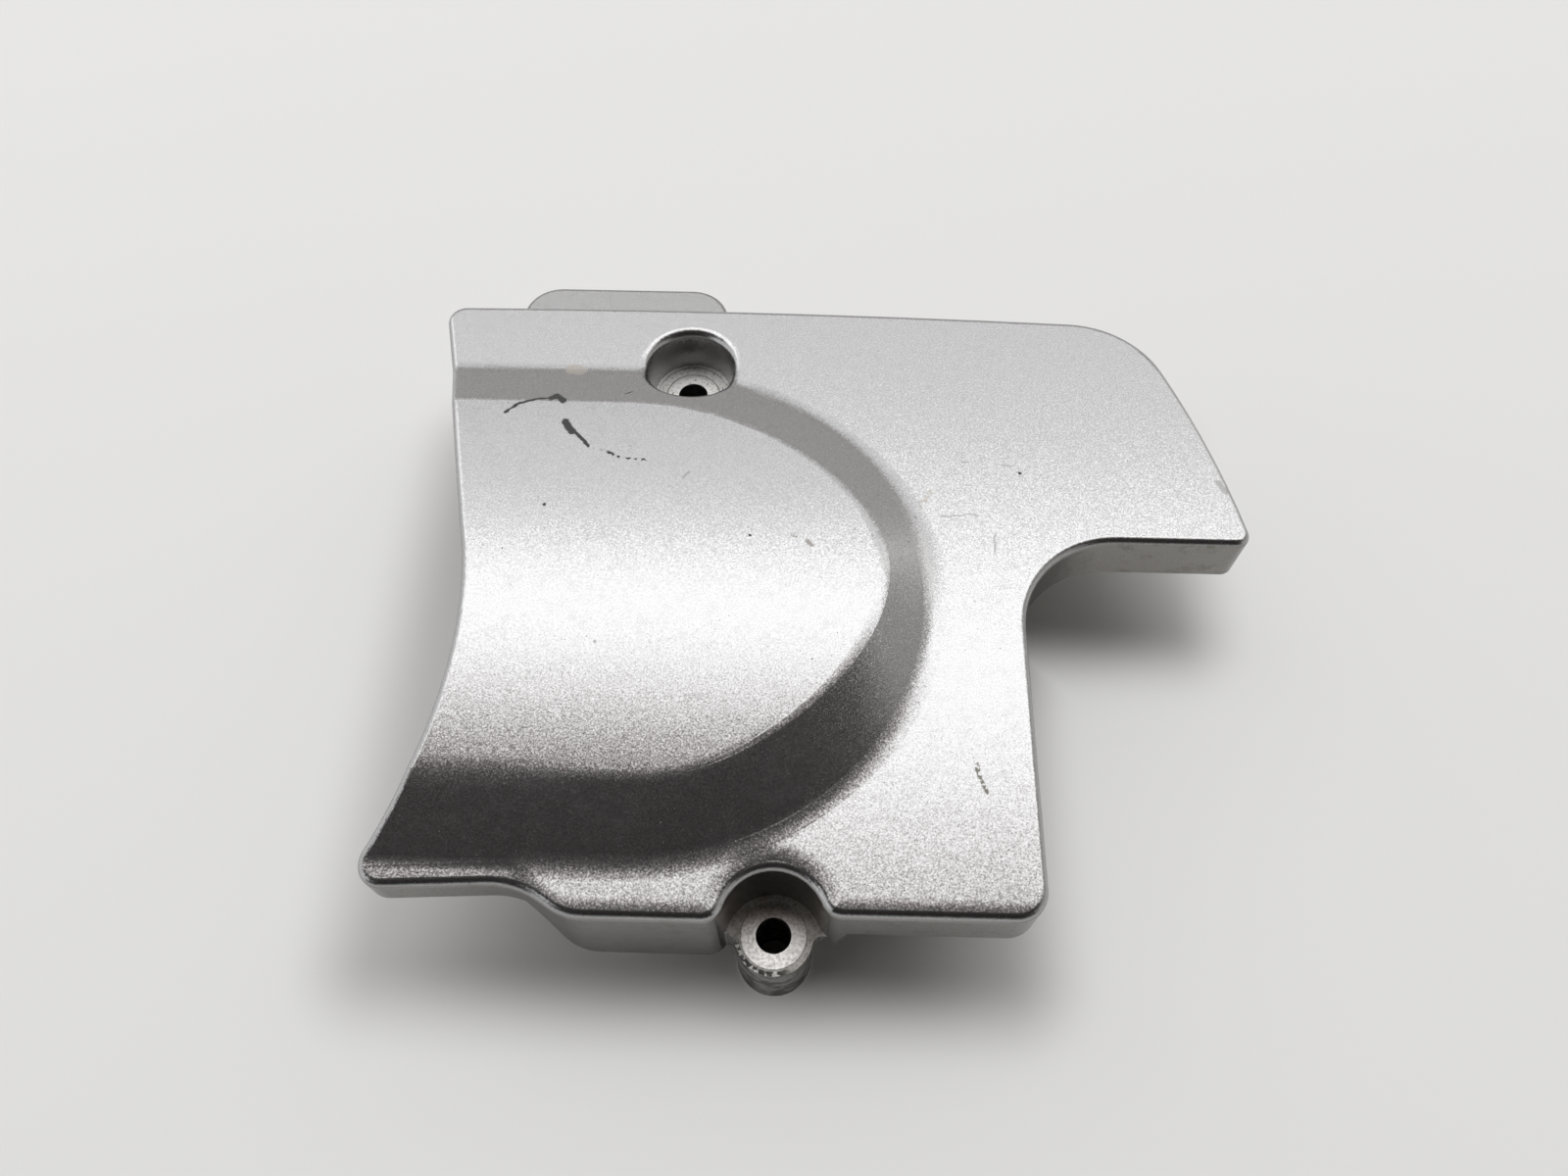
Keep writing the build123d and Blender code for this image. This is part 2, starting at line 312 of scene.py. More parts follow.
class Layers:
    """Finishes laid over one another, each where its mask is 1."""

    def __init__(self, shop: Shop, base: Coat) -> None:
        """Starts with the lowest coat.

        Args:
            shop: the material.
            base: the coat under all the others.
        """
        self.shop = shop
        self.colour: object = base.colour
        self.roughness: Sock | float = base.roughness
        self.metallic: Sock | float = base.metallic

    def lay(self, coat: Coat, mask: Sock) -> None:
        """Covers what is there with a coat where the mask is 1."""
        self.colour = self.shop.blend(mask, self.colour, coat.colour)
        self.dull(coat.roughness, mask)
        self.metallic = self.shop.between(mask, self.metallic, coat.metallic)

    def dull(self, roughness: float, mask: Sock) -> None:
        """Moves the roughness to another value where the mask is 1."""
        self.roughness = self.shop.between(mask, self.roughness, roughness)

    def tint(self, colour: Colour, mask: Sock) -> None:
        """Multiplies the colour by another where the mask is 1."""
        self.colour = self.shop.blend(mask, self.colour, colour, "MULTIPLY")


class Stain(Enum):
    """What a mark on the paint is: its coat and how much of the paint it hides."""

    RUBBER = (Coat((0.018, 0.018, 0.018), 0.7, 0.0), 0.92)
    EARTH = (Coat((0.17, 0.125, 0.085), 0.8, 0.0), 0.38)
    MOSS = (Coat((0.16, 0.15, 0.09), 0.7, 0.0), 0.65)
    FAINT = (Coat((0.12, 0.115, 0.11), 0.6, 0.3), 0.30)
    CLAY = (Coat((0.50, 0.43, 0.34), 0.7, 0.0), 0.38)


@dataclass(frozen=True)
class Stroke:
    """A mark drawn along a few points of the outer face, in millimetres; one point is a dot."""

    stain: Stain
    half_width: float
    points: tuple[Spot, ...]
    broken: bool = False
    solid: float = 0.7
    faded: float = 1.25
    blur: float = 0.05

    def mask(self, ground: Ground, ragged: Sock, gaps: Sock) -> Sock:
        """Where the mark lies: solid near its line and faded out a little past its half width.

        Args:
            ground: coordinates.
            ragged: stirred flat coordinates.
            gaps: mask that breaks a broken mark up.

        Returns:
            The mask.
        """
        points = self.points
        if len(points) == 1:
            distance = ground.away(points[0], ragged)
        else:
            pieces = [ground.off_line(ragged, start, end) for start, end in zip(points, points[1:])]
            distance = reduce(Sock.both, pieces)
        mask = distance.ramp(self.half_width * self.faded + self.blur, self.half_width * self.solid)
        return mask * gaps if self.broken else mask


STROKES = (
    Stroke(Stain.RUBBER, 0.28, ((-59.8, 102.5), (-57.1, 105.3), (-53.5, 106.6), (-50.6, 107.1))),
    Stroke(Stain.RUBBER, 0.85, ((-50.6, 107.0), (-49.5, 107.9), (-48.0, 106.3))),
    Stroke(Stain.RUBBER, 0.80, ((-46.7, 100.1), (-45.8, 98.5), (-44.9, 97.4))),
    Stroke(Stain.RUBBER, 0.35, ((-44.8, 97.8), (-43.0, 95.8), (-41.1, 93.5))),
    Stroke(Stain.RUBBER, 0.30, ((-38.5, 92.8), (-36.3, 91.8), (-34.3, 90.7)), broken=True),
    Stroke(Stain.RUBBER, 0.26, ((-34.3, 90.7), (-31.7, 90.4), (-28.8, 89.9)), broken=True),
    Stroke(Stain.RUBBER, 0.16, ((-35.1, 109.0), (-33.7, 109.8))),
    Stroke(Stain.RUBBER, 0.30, ((-48.0, 78.3),)),
    Stroke(Stain.RUBBER, 0.30, ((48.9, 92.6),)),
    Stroke(Stain.EARTH, 0.40, ((1.6, 72.3), (2.6, 71.9)), broken=True),
    Stroke(Stain.EARTH, 0.35, ((4.6, 70.9), (5.5, 69.9))),
    Stroke(Stain.EARTH, 0.30, ((26.7, 80.9),)),
    Stroke(Stain.EARTH, 0.28, ((25.1, 73.7),)),
    Stroke(Stain.RUBBER, 0.26, ((-6.7, 71.9),)),
    Stroke(Stain.FAINT, 0.16, ((31.6, 81.3), (36.0, 81.8), (38.6, 82.1), (39.4, 81.8))),
    Stroke(Stain.FAINT, 0.14, ((42.7, 77.4), (42.4, 72.7))),
    Stroke(Stain.FAINT, 0.18, ((36.9, 95.1), (38.4, 95.2))),
    Stroke(Stain.FAINT, 0.18, ((45.5, 94.7), (46.7, 94.3))),
    Stroke(Stain.FAINT, 0.35, ((51.4, 66.8), (52.7, 69.1))),
    Stroke(Stain.FAINT, 0.22, ((-20.8, 85.5), (-19.7, 87.3))),
    Stroke(Stain.FAINT, 0.55, ((90.1, 91.4), (91.2, 89.0))),
    Stroke(Stain.FAINT, 0.30, ((-34.7, 48.0),)),
    Stroke(Stain.FAINT, 0.30, ((21.7, 40.8),)),
    Stroke(Stain.FAINT, 0.25, ((17.4, 72.5),)),
    Stroke(Stain.FAINT, 0.25, ((14.1, 73.8),)),
    Stroke(Stain.FAINT, 0.22, ((-12.9, 121.8), (-11.6, 118.2)), broken=True),
    Stroke(Stain.MOSS, 0.40, ((36.4, 27.7), (36.9, 24.9), (37.8, 22.3)), broken=True),
    Stroke(Stain.CLAY, 1.50, ((-48.0, 117.9), (-46.2, 117.5))),
    Stroke(Stain.CLAY, 0.55, ((27.7, 83.9), (30.0, 87.4)), broken=True),
)


@dataclass(frozen=True)
class Grime:
    """Dirt by noise: the noise that gives none and the noise that gives all of it, and its cover."""

    noise: Ramp
    cover: float

    def mask(self, speck: Sock) -> Sock:
        """Where the dirt lies."""
        return speck.ramp(*self.noise) * self.cover


@dataclass(frozen=True)
class Ring:
    """A dirty line round a rubbed disc: its way outside it, half width, soft edge and cover."""

    outside: float
    half: float
    soft: float
    cover: float

    def mask(self, around: Sock, rubbed: float) -> Sock:
        """Where the line lies."""
        return around.near(rubbed + self.outside, self.half, self.soft) * self.cover


@dataclass(frozen=True)
class BoltSeat:
    """A level bolt seat, bare out to its reach and shiny where the head has rubbed it, in millimetres."""

    spot: Spot
    height: float
    within: float
    soft: float
    reach: float
    edge: float
    rubbed: float
    ring: Ring
    pit_tint: Colour
    rubbed_edge: float = 0.2

    def area(self, ground: Ground, around: Sock, level: Sock) -> Sock:
        """Mask of the seat: level ground at its height, within its reach.

        Args:
            ground: coordinates.
            around: distance from the bolt's axis.
            level: mask of level ground.

        Returns:
            The mask.
        """
        at_height = ground.z.near(self.height, self.within, self.soft)
        return at_height * level * around.ramp(self.reach, self.reach - self.edge)

    def shine(self, around: Sock) -> Sock:
        """Where the bolt's head has rubbed."""
        return around.ramp(self.rubbed, self.rubbed - self.rubbed_edge)


@dataclass(frozen=True)
class Crease:
    """A bend of the panel, level on the left and rising to the right along an ellipse, in millimetres.

    The mesh has it with a half width and a facet share. The finish widens it to one half width on the
    right and another on the left, and fades out where the ellipse gets steep. Side is 1 for a foot and
    -1 for a brow.
    """

    side: int
    level: float
    turn: float
    oval: Spot
    slope: float
    half: float
    facet: float
    widths: tuple[float, float]
    widening: Ramp
    fade: Ramp
    steepest: float = 0.95

    def past(self, ground: Ground) -> Sock:
        """Distance past the crease on the side of its slope.

        Args:
            ground: coordinates.

        Returns:
            The distance in millimetres, measured square to the crease.
        """
        run = ((ground.x - self.turn) * (1 / self.oval[0])).either(0.0).both(self.steepest)
        left = 1 - run * run
        line = (1 - left.power(0.5)) * self.oval[1] + self.level
        slope = run * left.power(-0.5) * (self.oval[1] / self.oval[0])
        return (ground.y - line) * (slope * slope + 1).power(-0.5) * self.side

    def widened(self, ground: Ground) -> Sock:
        """Height that turns the bend in the mesh into a wider and softer one.

        Args:
            ground: coordinates.

        Returns:
            The height in millimetres.
        """
        past = self.past(ground)
        right, left = (self.bend(past, half, 0.0) for half in self.widths)
        soft = ground.shop.between(ground.x.ramp(*self.widening), right, left)
        built = self.bend(past, self.half, self.facet)
        return (soft - built) * (self.slope * self.side) * ground.x.ramp(*self.fade)

    @staticmethod
    def bend(past: Sock, half: float, facet: float) -> Sock:
        """Height along a softened crease: level before it, unit slope after it.

        Args:
            past: distance past the crease.
            half: half width of the bend.
            facet: 0 for a smooth parabola, 1 for one flat facet, as the mesh has on a tight bend.

        Returns:
            The height.
        """
        within = ((past + half) * (1 / (2 * half))).clamped()
        inside = within * (within * (1 - facet) + facet)
        return inside * half + (past - half).either(0.0)


@dataclass(frozen=True)
class Rim:
    """Soft roll-off of the face towards its bottom edge and round the scallop, in millimetres.

    The edge runs at one level on the right, lower between the bolt and the slanting step, and higher and a
    little slanted on the left. The face drops with the square of the way into the rim, on the left evenly.
    """

    level: float = -0.5
    middle: float = -1.3
    middle_along: Ramp = (-4.0, -10.0)
    left: float = 5.7
    left_along: Ramp = (-35.0, -45.5)
    slant_start: float = -46.0
    slant: float = 0.052
    scallop_radius: float = 9.0
    width: float = 3.7
    drop: float = 0.34
    drop_left: float = 0.20
    even_along: Ramp = (-41.0, -48.0)

    def rolled(self, ground: Ground, bolt: Spot) -> Sock:
        """Height of the roll-off.

        Args:
            ground: coordinates.
            bolt: the axis that the scallop goes round.

        Returns:
            The height in millimetres, zero or less.
        """
        x = ground.x
        steps = x.ramp(*self.middle_along) * self.middle + x.ramp(*self.left_along) * self.left
        edge = steps + (x - self.slant_start).both(0.0) * self.slant + self.level
        inside = (ground.y - edge).both(ground.away(bolt) - self.scallop_radius)
        depth = (1 - inside * (1 / self.width)).clamped()
        drop = ground.shop.between(x.ramp(*self.even_along), depth * self.drop, self.drop_left)
        return depth * drop * -1


@dataclass(frozen=True)
class Relief:
    """Relief of the paint in millimetres: soft bends, orange peel, slow waviness and leaning flakes."""

    rim: Rim = Rim()
    foot: Crease = Crease(
        side=1, level=7.0, turn=-28.0, oval=(58.0, 55.0), slope=0.262, half=1.29, facet=0.5,
        widths=(2.58, 1.29), widening=(-41.0, -50.0), fade=(14.0, 2.0),
    )
    brow: Crease = Crease(
        side=-1, level=22.5, turn=-25.6, oval=(60.0, 108.0), slope=0.154, half=0.355, facet=1.0,
        widths=(1.4, 3.2), widening=(-30.0, -52.0), fade=(4.0, -8.0),
    )
    peel: float = 2.5
    peel_height: float = 0.006
    wave: float = 25.0
    wave_height: float = 0.03
    lean: float = 0.25

    def normal(self, ground: Ground, grain: float, bolt: Spot) -> Sock:
        """The bumped normal, on which each flake leans a bit.

        Args:
            ground: coordinates.
            grain: size of a flake.
            bolt: the axis that the scallop goes round.

        Returns:
            The normal.
        """
        shop = ground.shop
        creases = self.foot.widened(ground) + self.brow.widened(ground)
        peel = shop.noise(ground.place, self.peel, detail=1.0) * self.peel_height
        wave = shop.noise(ground.place, self.wave, detail=0.0) * self.wave_height
        height = self.rim.rolled(ground, bolt) + creases + peel + wave
        bumped = shop.node("ShaderNodeBump", inputs={"Strength": 1.0, "Distance": MM, "Height": height})
        flakes = shop.noise(ground.place, grain, detail=1.0, out="Color")
        leaning = shop.vector("MULTIPLY_ADD", flakes, (self.lean,) * 3, bumped)
        return shop.vector("NORMALIZE", shop.vector("SUBTRACT", leaning, (self.lean / 2,) * 3))


@dataclass(frozen=True)
class Age:
    """Age all over the casting, with its walls darkened partly as grime and partly as painted shade, and
    its tab made evenly darker; a pair gives the noise, slope or distance for no effect and for all.
    """

    grain_tone: Colour = (0.87, 0.87, 0.87)
    grain_tones: Ramp = (0.38, 0.62)
    cloud_tint: Colour = (0.965, 0.965, 0.96)
    cloud: Ramp = (0.50, 0.74)
    dull: Ramp = (0.42, 0.70)
    dull_roughness: float = 0.27
    # walls: partly grimier cast paint, partly painted shade, as the walls mirror the shadowed floor
    wall_shade_and_grime_tint: Colour = (0.59, 0.565, 0.53)
    steep: Ramp = (0.75, 0.25)
    recess: Ramp = (12.0, 14.0)
    # share of the wall darkening, painted shade and grime, taken back inside the upper counterbore
    recess_lift: float = 0.8
    stain_tint: Colour = (0.60, 0.56, 0.51)
    stain: Grime = Grime((0.50, 0.72), 0.5)
    tab_tint: Colour = (0.82, 0.82, 0.81)
    tab: Ramp = (137.2, 137.6)
    dust: Grime = Grime((0.765, 0.815), 0.6)
    dusty: Ramp = (0.3, 0.6)
    dirt: Grime = Grime((0.265, 0.215), 0.7)
    hidden: Ramp = (-0.05, -0.25)


@dataclass(frozen=True)
class Wear:
    """Bare places, their dirt and the painted shade on the lower boss; a pair gives the noise, slope or
    distance for no effect and for all.
    """

    level: Ramp = (0.5, 0.7)
    patchy: Ramp = (0.44, 0.60)
    boss_radius: Ramp = (9.2, 8.6)
    boss_below: Ramp = (-0.1, -0.3)
    # lower boss darkened nearly to black: painted shade under the cover, patchy with grime
    boss_shade_and_grime_tint: Colour = (0.07, 0.068, 0.064)
    boss_even_shade: float = 0.75
    ring_tint: Colour = (0.88, 0.86, 0.83)
    ring_edge: float = 0.3
    pit: float = 0.6
    pitted: Ramp = (0.50, 0.42)
    dirty_y: Ramp = (0.5, -2.0)
    dirty_x: Ramp = (4.5, 1.5)
    dirty_around: Ramp = (6.2, 6.6)
    seat_dirt: Grime = Grime((0.40, 0.50), 0.9)
    cup_tint: Colour = (0.72, 0.715, 0.71)
    cup_dirt: Grime = Grime((0.36, 0.30), 0.8)
    foot_height: Ramp = (0.35, 0.25)


@dataclass(frozen=True)
class CastFinish:
    """Silver paint on the outside, raw casting inside, bare seats, grime and marks."""

    paint: Coat = Coat((0.470, 0.470, 0.473), 0.25, 0.96)
    raw: Coat = Coat((0.55, 0.55, 0.54), 0.50, 0.90)
    bare: Coat = Coat((0.80, 0.79, 0.77), 0.50, 0.60)
    seat: Coat = Coat((0.92, 0.91, 0.89), 0.55, 0.40)
    rubbed: Coat = Coat((0.99, 0.985, 0.97), 0.42, 1.0)
    grime: Coat = Coat((0.030, 0.028, 0.025), 0.9, 0.0)
    dust: Coat = Coat((0.42, 0.39, 0.35), 0.9, 0.0)
    lower: BoltSeat = BoltSeat(
        spot=(0.0, 0.0), height=19.0, within=0.25, soft=0.15, reach=12.0, edge=0.5, rubbed=6.1,
        ring=Ring(0.05, 0.05, 0.10, 0.35), pit_tint=(0.76, 0.75, 0.73),
    )
    upper: BoltSeat = BoltSeat(
        spot=(-22.0, 119.6), height=26.0, within=0.4, soft=0.2, reach=9.0, edge=0.4, rubbed=6.0,
        ring=Ring(0.0, 0.06, 0.12, 0.7), pit_tint=(0.80, 0.79, 0.78),
    )
    age: Age = Age()
    wear: Wear = Wear()
    relief: Relief = Relief()
    grain: float = 0.30
    blotch: float = 3.0
    speck: float = 0.8
    face: Ramp = (32.0, 33.0)
    face_level: Ramp = (0.2, 0.4)
    ripple: float = 1.3
    ragged: float = 1.0
    gaps: Ramp = (0.46, 0.54)

    def make(self) -> bpy.types.Material:
        """Builds the material.

        Returns:
            The finished material.
        """
        material = bpy.data.materials.new("silver_paint")
        shop = Shop(material, Output.MATERIAL)
        ground = Ground(shop)
        layers = Layers(shop, self.paint)
        blotch = shop.noise(ground.place, self.blotch, detail=3.0, rough=0.65)
        speck = shop.noise(ground.place, self.speck, detail=2.0, rough=0.6)
        self.weather(ground, layers, blotch, speck)
        self.mark(ground, layers, speck)
        self.strip_lower(ground, layers, blotch, speck)
        self.strip_upper(ground, layers, speck)
        layers.lay(self.bare, ground.z.ramp(*self.wear.foot_height))
        shader = shop.node(
            "ShaderNodeBsdfPrincipled",
            inputs={
                "Base Color": layers.colour,
                "Roughness": layers.roughness,
                "Metallic": layers.metallic,
                "Normal": self.relief.normal(ground, self.grain, self.lower.spot),
            },
        )
        shop.finish(shader)
        return material

    def weather(self, ground: Ground, layers: Layers, blotch: Sock, speck: Sock) -> None:
        """Age all over: cloudy paint, dust specks, walls darkened partly as grime and partly as painted
        shade, an evenly darker tab, and the raw hidden side.

        Args:
            ground: coordinates.
            layers: the coats so far.
            blotch: noise of about 3 mm.
            speck: noise of about 1 mm.
        """
        age = self.age
        out_of_recess = ground.away(self.upper.spot).ramp(*age.recess) * age.recess_lift
        steep = ground.up.ramp(*age.steep) * (out_of_recess + (1 - age.recess_lift))
        grains = layers.shop.noise(ground.place, self.grain, detail=1.0)
        layers.tint(age.grain_tone, grains.ramp(*age.grain_tones))
        layers.tint(age.cloud_tint, blotch.ramp(*age.cloud))
        layers.dull(age.dull_roughness, blotch.ramp(*age.dull))
        # steep walls darkened: partly painted shade, partly grime
        layers.tint(age.wall_shade_and_grime_tint, steep)
        layers.tint(age.stain_tint, steep * age.stain.mask(blotch))
        # the tab past y 137.4 mm is made evenly darker
        layers.tint(age.tab_tint, ground.y.ramp(*age.tab))
        layers.lay(self.dust, age.dust.mask(speck) * ground.up.ramp(*age.dusty))
        layers.lay(self.grime, age.dirt.mask(speck))
        layers.lay(self.raw, ground.up.ramp(*age.hidden))

    def mark(self, ground: Ground, layers: Layers, speck: Sock) -> None:
        """Scuffs, nicks and stains on the outer face.

        Args:
            ground: coordinates.
            layers: the coats so far.
            speck: noise of about 1 mm that breaks some of the marks up.
        """
        ragged = ground.stirred(self.ripple, self.ragged)
        face = ground.z.ramp(*self.face).both(ground.up.ramp(*self.face_level))
        gaps = speck.ramp(*self.gaps)
        for stain in Stain:
            coat, cover = stain.value
            masks = [stroke.mask(ground, ragged, gaps) for stroke in STROKES if stroke.stain is stain]
            layers.lay(coat, reduce(Sock.either, masks) * face * cover)

    def strip_lower(self, ground: Ground, layers: Layers, blotch: Sock, speck: Sock) -> None:
        """Bare metal on the lower bolt's seat and boss, with the grime that collects there; the boss is
        painted nearly black as shade, patchy with grime.

        Args:
            ground: coordinates.
            layers: the coats so far.
            blotch: noise of about 3 mm.
            speck: noise of about 1 mm.
        """
        bolt, wear = self.lower, self.wear
        around = ground.away(bolt.spot)
        patchy = blotch.ramp(*wear.patchy)
        boss = (ground.z - bolt.height).ramp(*wear.boss_below) * around.ramp(*wear.boss_radius)
        layers.lay(self.bare, boss)
        # painted shade on the boss under the seat: mostly even, the patchy rest is grime
        layers.tint(wear.boss_shade_and_grime_tint, boss * (patchy * (1 - wear.boss_even_shade) + wear.boss_even_shade))
        area = bolt.area(ground, around, ground.up.ramp(*wear.level))
        layers.lay(self.seat, area)
        layers.lay(self.rubbed, area * bolt.shine(around))
        outer = around.ramp(bolt.rubbed, bolt.rubbed + wear.ring_edge)
        layers.tint(wear.ring_tint, area * outer * patchy)
        self.pit(ground, layers, area, bolt)
        layers.lay(self.grime, area * bolt.ring.mask(around, bolt.rubbed))
        dirty = ground.y.ramp(*wear.dirty_y) * ground.x.ramp(*wear.dirty_x)
        dirty = dirty * around.ramp(*wear.dirty_around) * wear.seat_dirt.mask(speck)
        layers.lay(self.grime, area * dirty)

    def strip_upper(self, ground: Ground, layers: Layers, speck: Sock) -> None:
        """Bare metal on the upper bolt's seat, with its grime.

        Args:
            ground: coordinates.
            layers: the coats so far.
            speck: noise of about 1 mm.
        """
        bolt, wear = self.upper, self.wear
        around = ground.away(bolt.spot)
        area = bolt.area(ground, around, ground.up.ramp(*wear.level))
        shine = area * bolt.shine(around)
        layers.lay(self.seat, area)
        layers.lay(self.rubbed, shine)
        layers.tint(wear.cup_tint, shine)
        self.pit(ground, layers, area, bolt)
        layers.lay(self.grime, area * wear.cup_dirt.mask(speck))
        layers.lay(self.grime, area * bolt.ring.mask(around, bolt.rubbed))

    def pit(self, ground: Ground, layers: Layers, area: Sock, bolt: BoltSeat) -> None:
        """Darkens the pits of a cast seat.

        Args:
            ground: coordinates.
            layers: the coats so far.
            area: mask of the seat.
            bolt: the seat.
        """
        pits = layers.shop.noise(ground.place, self.wear.pit, detail=2.0)
        layers.tint(bolt.pit_tint, area * pits.ramp(*self.wear.pitted))


@dataclass(frozen=True)
class BenchTop:
    """Pale matt bench; seen or mirrored away from the part it glows a little, so the far bench stays even;
    round the part the glow is left out, which darkens the floor there as painted shadow around the real
    one.
    """

    colour: Colour = (0.80, 0.80, 0.79)
    roughness: float = 0.8
    glow: Colour = (0.87, 0.87, 0.865)
    share: float = 0.58
    # rectangles round the body and the arm where the glow is left out: painted shadow over the real shadow
    shaded: tuple[tuple[Spot, Spot], ...] = (
        ((-0.0165, 0.062), (0.0615, 0.063)),
        ((0.064, 0.103), (0.024, 0.026)),
    )
    fade: float = 0.021
    far: Ramp = (0.25, 1.2)

    def make(self) -> bpy.types.Material:
        """Builds the material.

        Returns:
            The finished material.
        """
        material = bpy.data.materials.new("bench_top")
        shop = Shop(material, Output.MATERIAL)
        matt = shop.node(
            "ShaderNodeBsdfPrincipled",
            inputs={"Base Color": (*self.colour, 1.0), "Roughness": self.roughness},
        )
        glow = shop.node("ShaderNodeEmission", inputs={"Color": (*self.glow, 1.0), "Strength": 1.0})
        seen = shop.node("ShaderNodeLightPath", out="Is Camera Ray")
        mirrored = shop.node("ShaderNodeLightPath", out="Is Glossy Ray")
        # no glow near the part: the floor there is darkened as painted shadow, on top of the real shadow
        body, arm = (self.beyond(shop, middle, half) for middle, half in self.shaded)
        away = body.both(arm)
        share = away.ramp(0.0, self.fade) * self.share + away.ramp(*self.far) * (1 - self.share)
        shop.finish(
            shop.node("ShaderNodeMixShader", inputs={0: seen.either(mirrored) * share, 1: matt, 2: glow})
        )
        return material

    @staticmethod
    def beyond(shop: Shop, middle: Spot, half: Spot) -> Sock:
        """Distance outside a rectangle on the bench: the length of what is left past its half sizes.

        Args:
            shop: the material.
            middle: the rectangle's middle.
            half: its half sizes.

        Returns:
            The distance in metres, 0 inside.
        """
        place = shop.node("ShaderNodeTexCoord", out="Object")
        from_middle = shop.vector("SUBTRACT", place, (*middle, 0.0))
        beside = shop.vector("SUBTRACT", shop.vector("ABSOLUTE", from_middle), (*half, 1.0))
        return shop.vector("LENGTH", shop.vector("MAXIMUM", beside, (0.0, 0.0, 0.0)), out="Value")


@dataclass
class Cover:
    """The casting, dressed in its paint."""

    finish: CastFinish = field(default_factory=CastFinish)

    def build(self) -> None:
        """Dresses the casting."""
        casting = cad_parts[CASTING]
        material = self.finish.make()
        for slot in casting.material_slots:
            slot.material = material
        nodes = len(material.node_tree.nodes)
        log.info("%s: %d faces, %d material nodes", casting.name, len(casting.data.polygons), nodes)


@dataclass(frozen=True)
class SoftPanel:
    """One soft rectangular lamp, given by where the cover sees it."""

    name: str
    toward: Place
    half_wide: float
    half_high: float
    radiance: float
    tint: Colour = (1.0, 1.0, 1.0)
    reach: float = 1.0


def tilted(degrees_back: float, degrees_right: float = 0.0) -> Place:
    """A direction leaning from straight up.

    Args:
        degrees_back: lean towards +Y.
        degrees_right: lean towards +X.

    Returns:
        The direction, not normalised.
    """
    return (math.tan(math.radians(degrees_right)), math.tan(math.radians(degrees_back)), 1.0)


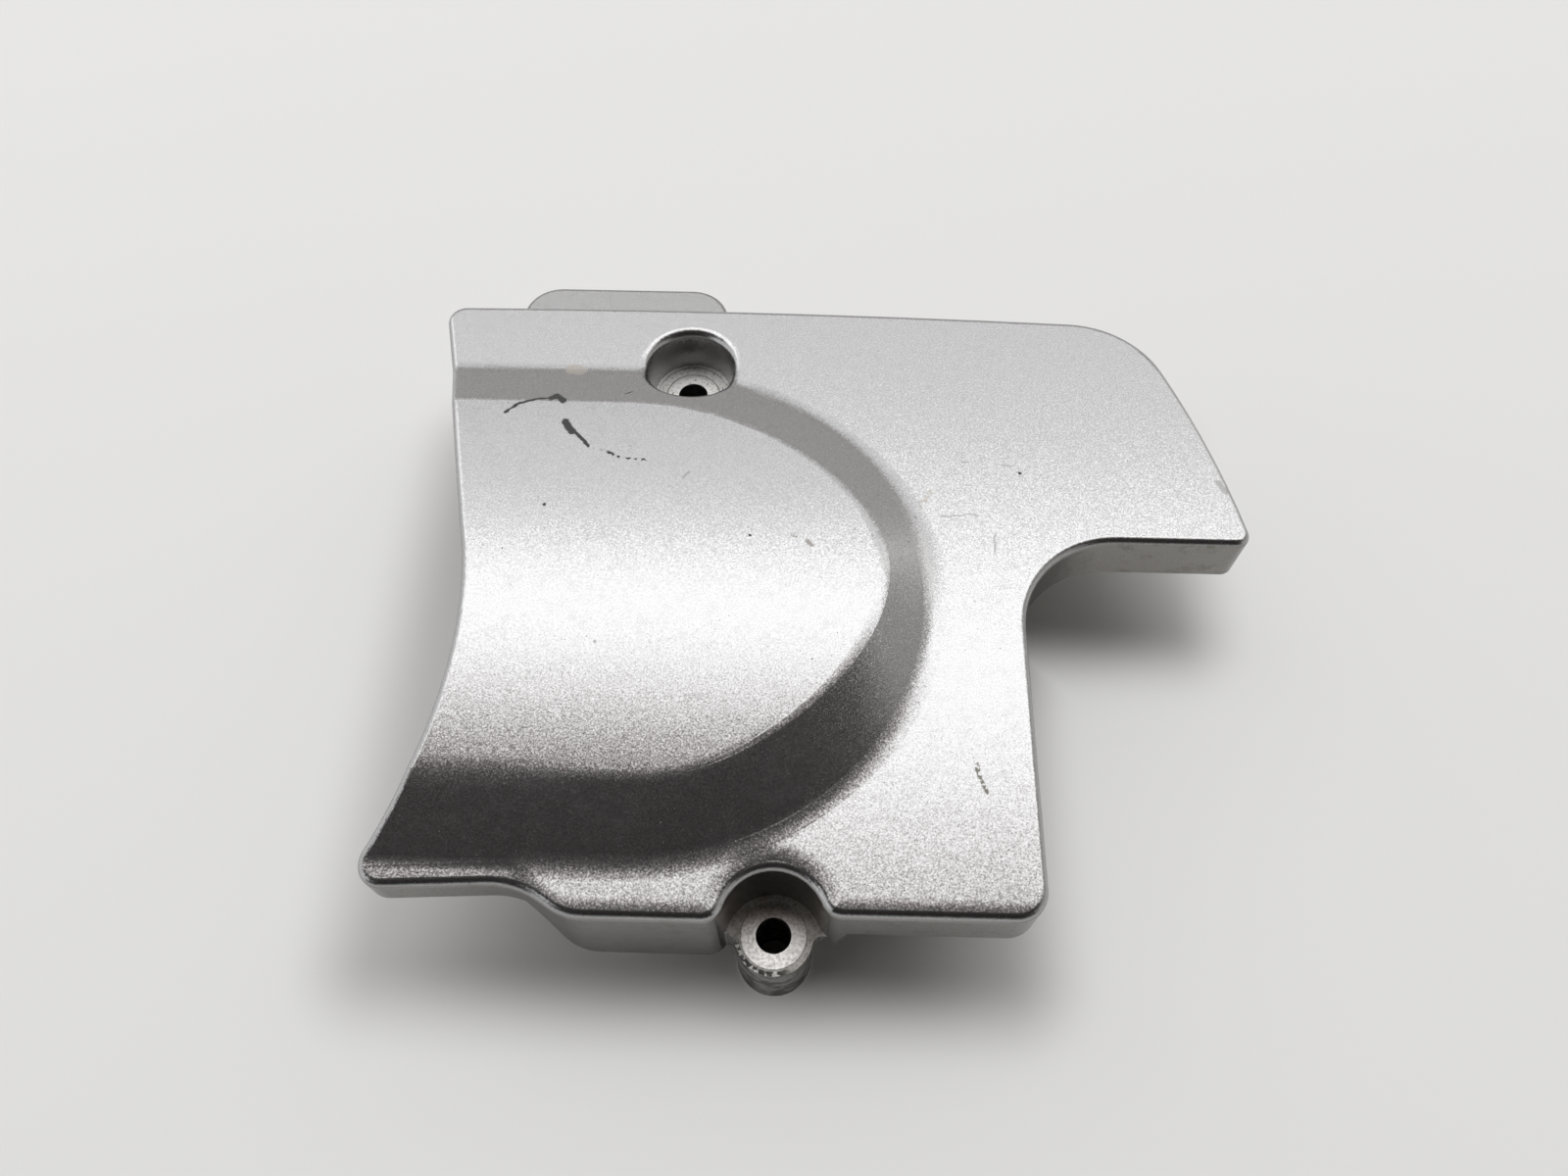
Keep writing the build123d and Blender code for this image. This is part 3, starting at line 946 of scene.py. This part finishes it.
@dataclass
class Studio:
    """Bench, lamps and camera."""

    middle: Place = (0.0, 0.06, 0.03)
    surround: Colour = (0.014, 0.011, 0.010)
    panels: tuple[SoftPanel, ...] = (
        SoftPanel("front_low", tilted(7.2), 42, 2.2, 0.55, (1.0, 0.80, 0.76)),
        SoftPanel("front", tilted(10.7), 42, 1.3, 1.35, (1.0, 0.92, 0.90)),
        SoftPanel("overhead_low", tilted(15.5), 42, 3.5, 2.05),
        SoftPanel("overhead", tilted(27), 42, 8, 2.7),
        SoftPanel("back", tilted(48), 50, 11, 1.3),
        SoftPanel("far_back", tilted(71), 50, 11, 0.46, (1.0, 0.95, 0.92)),
        SoftPanel("right", tilted(10, 65), 40, 20, 0.44, (1.0, 0.985, 0.93)),
        SoftPanel("left", tilted(10, -65), 40, 20, 0.9),
    )
    backdrop: Colour = (0.40, 0.40, 0.40)
    backdrop_seen: Colour = (0.86, 0.86, 0.855)
    backdrop_height: Ramp = (0.38, 0.08)
    bench_half: float = 20.0
    camera_place: Place = (0.0032, -0.0489, 0.2351)
    camera_tilt: float = 29.5
    camera_turn: float = 1.5
    lens: float = 26.55
    sensor: float = 36.0
    nearest: float = 0.01
    bench: BenchTop = field(default_factory=BenchTop)

    def lay_bench(self) -> None:
        """Adds the flat pale bench at the height of the part's feet."""
        half = self.bench_half
        corners = [(-half, -half, 0), (half, -half, 0), (half, half, 0), (-half, half, 0)]
        mesh = bpy.data.meshes.new("bench")
        mesh.from_pydata(corners, [], [(0, 1, 2, 3)])
        bench = bpy.data.objects.new("bench", mesh)
        bpy.context.scene.collection.objects.link(bench)
        mesh.materials.append(self.bench.make())

    def add_panel(self, panel: SoftPanel) -> None:
        """Adds one soft rectangular lamp that faces the middle of the cover.

        Args:
            panel: the lamp's direction, spread and brightness.
        """
        toward = Vector(panel.toward).normalized()
        data = bpy.data.lights.new(panel.name, "AREA")
        data.shape = "RECTANGLE"
        data.size = 2 * panel.reach * math.tan(math.radians(panel.half_wide))
        data.size_y = 2 * panel.reach * math.tan(math.radians(panel.half_high))
        data.energy = panel.radiance * math.pi * data.size * data.size_y
        data.color = panel.tint
        side = toward.cross(Vector((0, 0, 1))).normalized()
        over = side.cross(toward)
        basis = Matrix((side, over, toward)).transposed()
        lamp = bpy.data.objects.new(panel.name, data)
        lamp.matrix_world = Matrix.Translation(Vector(self.middle) + toward * panel.reach) @ basis.to_4x4()
        bpy.context.scene.collection.objects.link(lamp)

    def light(self) -> None:
        """Lamps and a dim world; metal mirrors a pale backdrop low down, the camera sees pale all over."""
        for panel in self.panels:
            self.add_panel(panel)
        world = bpy.data.worlds.new("surround")
        shop = Shop(world, Output.WORLD)
        height = shop.split(shop.node("ShaderNodeTexCoord", out="Generated"))[2]
        mirrored = shop.node("ShaderNodeLightPath", out="Is Glossy Ray")
        low_down = height.ramp(*self.backdrop_height) * mirrored
        colour = shop.blend(low_down, self.surround, self.backdrop)
        lit = shop.node("ShaderNodeBackground", inputs={"Color": colour, "Strength": 1.0})
        seen_colour = (*self.backdrop_seen, 1.0)
        pale = shop.node("ShaderNodeBackground", inputs={"Color": seen_colour, "Strength": 1.0})
        seen = shop.node("ShaderNodeLightPath", out="Is Camera Ray")
        shop.finish(shop.node("ShaderNodeMixShader", inputs={0: seen, 1: lit, 2: pale}))
        bpy.context.scene.world = world

    def aim_camera(self) -> None:
        """Sets the camera: tilted back from straight down, then turned a little about the vertical."""
        tilt = math.radians(self.camera_tilt)
        turn = Matrix.Rotation(math.radians(self.camera_turn), 3, "Z")
        right = turn @ Vector((1, 0, 0))
        up = turn @ Vector((0, math.cos(tilt), math.sin(tilt)))
        back = right.cross(up)
        data = bpy.data.cameras.new("camera")
        data.lens = self.lens
        data.sensor_width = self.sensor
        data.clip_start = self.nearest
        camera = bpy.data.objects.new("camera", data)
        bpy.context.scene.collection.objects.link(camera)
        basis = Matrix((right, up, back)).transposed().to_4x4()
        camera.matrix_world = Matrix.Translation(self.camera_place) @ basis
        bpy.context.scene.camera = camera

    def build(self) -> None:
        """Sets the whole studio."""
        self.lay_bench()
        self.light()
        self.aim_camera()
        bpy.context.scene.view_settings.view_transform = "Standard"


def main() -> None:
    """Builds the cover and the studio."""
    logging.basicConfig(level=logging.INFO)
    Cover().build()
    Studio().build()


if __name__ == "__main__":
    main()
